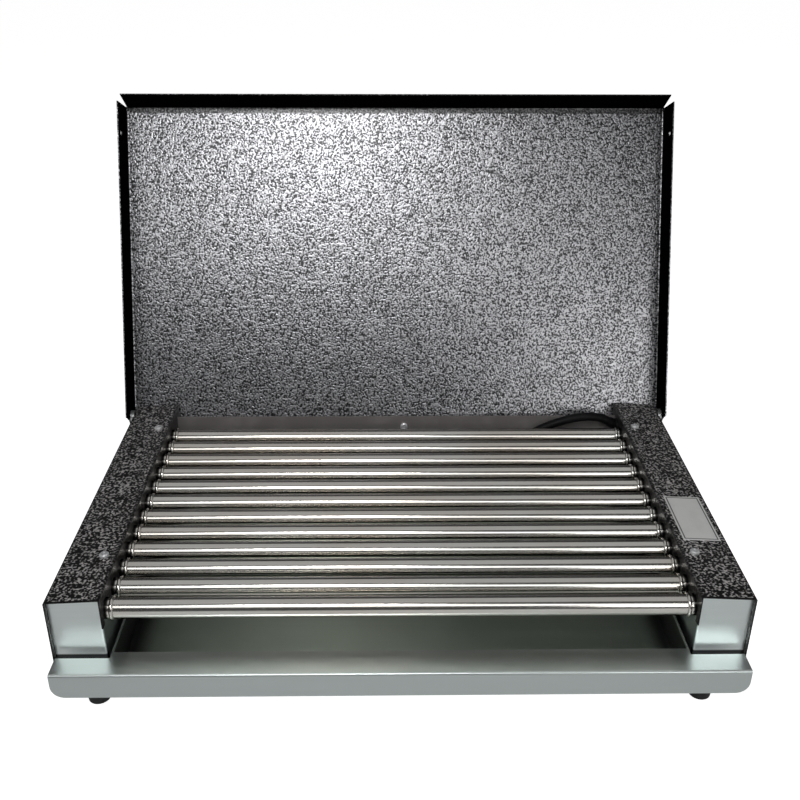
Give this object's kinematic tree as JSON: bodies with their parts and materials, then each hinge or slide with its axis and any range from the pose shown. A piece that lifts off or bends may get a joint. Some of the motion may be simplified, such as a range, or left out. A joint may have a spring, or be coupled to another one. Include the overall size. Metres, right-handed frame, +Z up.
{
  "type": "electric grill",
  "caption": "Low table-top electric grill: stainless heating tubes between two side boxes, a slide-out drip tray and a sheet lid hinged at the back, with a mains lead.",
  "frame": {"origin": "on the floor under the feet, at the middle of the open grill's width and depth, lead and plug left out", "axes": "+X to the right seen from the front, +Y from the tray lip to the lid, +Z up"},
  "size_m": [0.5354, 0.4615, 0.3929],
  "materials": {
    "hammertone": "glossy hammer paint, charcoal with silver-grey mottling",
    "galvanised": "satin galvanised sheet",
    "rear_panel_steel": "satin dark grey-brown",
    "stainless_tube": "polished stainless tube",
    "ceramic": "unglazed insulating ceramic",
    "resistance_wire": "wound resistance wire, drawn as a sleeve",
    "plated_steel": "bright zinc plate",
    "brass_strip": "mill finish",
    "lead_insulation": "silicone insulation",
    "black_screw": "black oxide",
    "label_foil": "satin foil plate, left bare",
    "foot_plastic": "black moulded",
    "cord_rubber": "black rubber sheath",
    "plug_plastic": "black moulded rubber",
    "plug_contact": "nickel-plated brass"
  },
  "bodies": {
    "frame": {"left_cover": "hammertone", "right_cover": "hammertone", "left_chassis": "galvanised", "right_chassis": "galvanised", "rear_panel": "rear_panel_steel", "front_rail": "galvanised", "rear_rail": "galvanised", "left_tray_runner": "galvanised", "right_tray_runner": "galvanised", "tube_01": "stainless_tube", "tube_02": "stainless_tube", "tube_03": "stainless_tube", "tube_04": "stainless_tube", "tube_05": "stainless_tube", "tube_06": "stainless_tube", "tube_07": "stainless_tube", "tube_08": "stainless_tube", "tube_09": "stainless_tube", "tube_10": "stainless_tube", "tube_11": "stainless_tube", "tube_12": "stainless_tube", "ceramic_cores": "ceramic", "heating_windings": "resistance_wire", "end_bushes": "ceramic", "terminal_pins": "plated_steel", "terminal_nuts": "plated_steel", "left_bus_strip": "brass_strip", "right_bus_strip": "brass_strip", "terminal_block": "ceramic", "block_screws": "plated_steel", "cord_cores": "lead_insulation", "live_lead": "lead_insulation", "neutral_link": "lead_insulation", "earth_lead": "lead_insulation", "earth_screw": "plated_steel", "cord_clamp": "plated_steel", "hinge_screws": "black_screw", "hinge_spacers": "plated_steel", "hinge_nuts": "plated_steel", "cover_screws": "plated_steel", "panel_screw": "plated_steel", "label_plate": "label_foil", "front_left_foot": "foot_plastic", "front_right_foot": "foot_plastic", "rear_left_foot": "foot_plastic", "rear_right_foot": "foot_plastic", "foot_screws": "plated_steel", "cord_boot": "cord_rubber", "cord_tail": "cord_rubber", "cord_run": "cord_rubber", "cord_coil": "cord_rubber", "cord_end": "cord_rubber", "plug_body": "plug_plastic", "plug_pins": "plug_contact"},
    "lid": {"lid": "hammertone"},
    "drip_tray": {"drip_tray": "galvanised"}
  },
  "joints": [
    {"name": "lid_hinge", "type": "hinge", "parent": "frame", "child": "lid", "pos_m": [0, 0.09927, 0.097], "axis": [1, 0, 0], "range_deg": [0, 112]},
    {"name": "tray_slide", "type": "slide", "parent": "frame", "child": "drip_tray", "axis": [0, -1, 0], "range_m": [0, 0.25]}
  ]
}
